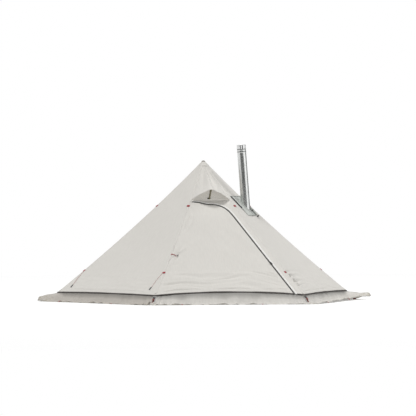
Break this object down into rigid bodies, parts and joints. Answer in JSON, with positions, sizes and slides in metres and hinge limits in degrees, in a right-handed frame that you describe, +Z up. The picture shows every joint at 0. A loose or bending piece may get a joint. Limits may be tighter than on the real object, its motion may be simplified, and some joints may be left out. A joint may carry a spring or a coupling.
{
  "type": "tipi tent",
  "caption": "Six-sided tipi tent on a centre pole, with a zipped door, a propped vent hood, a snow skirt, guy-lines and a stove jack with its pipe and spark arrester.",
  "frame": {"origin": "on the ground under the apex, at the underside of the centre pole's foot", "axes": "+Z up, +X towards the right-hand hem corner, the door wall faces -Y"},
  "size_m": [4.0131, 3.4298, 1.8428],
  "materials": {
    "black_plastic": "moulded, satin",
    "red_webbing": "woven webbing",
    "canopy_cloth": "woven cotton blend, matt",
    "guy_cord": "braided cord",
    "black_webbing": "woven webbing",
    "jack_fibreglass": "coated fibreglass cloth",
    "pole_aluminium": "drawn tube, satin",
    "skirt_cloth": "woven cloth, matt",
    "stainless": "rolled stainless sheet",
    "mesh_net": "fine mesh",
    "strut_olive": "olive rod",
    "slider_metal": "dark coated zinc",
    "zip_black": "zip tape with nylon coil"
  },
  "bodies": {
    "tent": {"corner_buckle_back_left": "black_plastic", "corner_buckle_back_right": "black_plastic", "corner_buckle_front_left": "black_plastic", "corner_buckle_front_right": "black_plastic", "corner_buckle_left": "black_plastic", "corner_buckle_right": "black_plastic", "corner_strap_back_left": "red_webbing", "corner_strap_back_right": "red_webbing", "corner_strap_front_left": "red_webbing", "corner_strap_front_right": "red_webbing", "corner_strap_left": "red_webbing", "corner_strap_right": "red_webbing", "front_wall": "canopy_cloth", "guy_line_front": "guy_cord", "guy_line_left": "guy_cord", "guy_line_tensioner_front": "black_plastic", "guy_line_tensioner_left": "black_plastic", "hem_webbing": "black_webbing", "jack_collar": "jack_fibreglass", "jack_hook_tape": "black_webbing", "jack_patch": "jack_fibreglass", "jack_rain_flap": "jack_fibreglass", "lower_clamp": "black_plastic", "pole_foot": "black_plastic", "pole_lower_tube": "pole_aluminium", "ridge_seams_and_cap": "canopy_cloth", "skirt_back": "skirt_cloth", "skirt_front_left": "skirt_cloth", "skirt_front_right": "skirt_cloth", "skirt_left_back": "skirt_cloth", "skirt_left_front": "skirt_cloth", "skirt_right_back": "skirt_cloth", "skirt_right_front": "skirt_cloth", "tie_back_loop": "red_webbing", "vent_hood": "canopy_cloth", "vent_mesh": "mesh_net", "wall_back": "canopy_cloth", "wall_left_back": "canopy_cloth", "wall_left_front": "canopy_cloth", "wall_right_back": "canopy_cloth", "wall_right_front": "canopy_cloth", "zip_storm_flap": "canopy_cloth", "zip_tape_wall": "zip_black"},
    "door": {"door_flap": "canopy_cloth", "hem_webbing_door": "black_webbing", "zip_tape_door": "zip_black", "skirt_door": "skirt_cloth", "tie_back_toggle": "black_plastic"},
    "zip_slider": {"zip_slider": "slider_metal"},
    "zip_pull": {"zip_pull": "black_plastic"},
    "vent_strut": {"vent_strut": "strut_olive", "strut_foot": "black_webbing"},
    "stove_pipe": {"stove_pipe": "stainless"},
    "spark_arrester": {"spark_arrester": "stainless"},
    "pole_middle": {"pole_middle_tube": "pole_aluminium", "upper_clamp": "black_plastic"},
    "pole_upper": {"pole_upper_tube": "pole_aluminium", "pole_tip": "black_plastic"},
    "lower_lever": {"lower_lever": "black_plastic"},
    "upper_lever": {"upper_lever": "black_plastic"}
  },
  "joints": [
    {"name": "door_swing", "type": "hinge", "parent": "tent", "child": "door", "pos_m": [-0.845, -1.51826, 0.10294], "axis": [-0.3792, -0.6567, -0.6519], "range_deg": [0, 120]},
    {"name": "zip_slide", "type": "slide", "parent": "door", "child": "zip_slider", "axis": [-0.3843, 0.6589, 0.6467], "range_m": [-0.535, 0.793]},
    {"name": "zip_pull_flip", "type": "hinge", "parent": "zip_slider", "child": "zip_pull", "pos_m": [0.54382, -1.13518, 0.48229], "axis": [-0.9232, -0.2743, -0.2692], "range_deg": [0, 150]},
    {"name": "vent_strut_fold", "type": "hinge", "parent": "tent", "child": "vent_strut", "pos_m": [-0.018, -0.52858, 1.31322], "axis": [1, 0, 0], "range_deg": [0, 65]},
    {"name": "stove_pipe_slide", "type": "slide", "parent": "tent", "child": "stove_pipe", "axis": [-0.0717, 0.0147, 0.9973], "range_m": [-0.25, 0.3]},
    {"name": "spark_arrester_pull", "type": "slide", "parent": "stove_pipe", "child": "spark_arrester", "axis": [-0.0717, 0.0147, 0.9973], "range_m": [0, 0.024]},
    {"name": "pole_middle_slide", "type": "slide", "parent": "tent", "child": "pole_middle", "axis": [0, 0, -1], "range_m": [0, 0.44]},
    {"name": "pole_upper_slide", "type": "slide", "parent": "pole_middle", "child": "pole_upper", "axis": [0, 0, -1], "range_m": [0, 0.44]},
    {"name": "lower_lever_turn", "type": "hinge", "parent": "tent", "child": "lower_lever", "pos_m": [0, -0.0263, 0.603], "axis": [0, 0, -1], "range_deg": [0, 100]},
    {"name": "upper_lever_turn", "type": "hinge", "parent": "pole_middle", "child": "upper_lever", "pos_m": [0, -0.0247, 1.103], "axis": [0, 0, -1], "range_deg": [0, 100]}
  ]
}
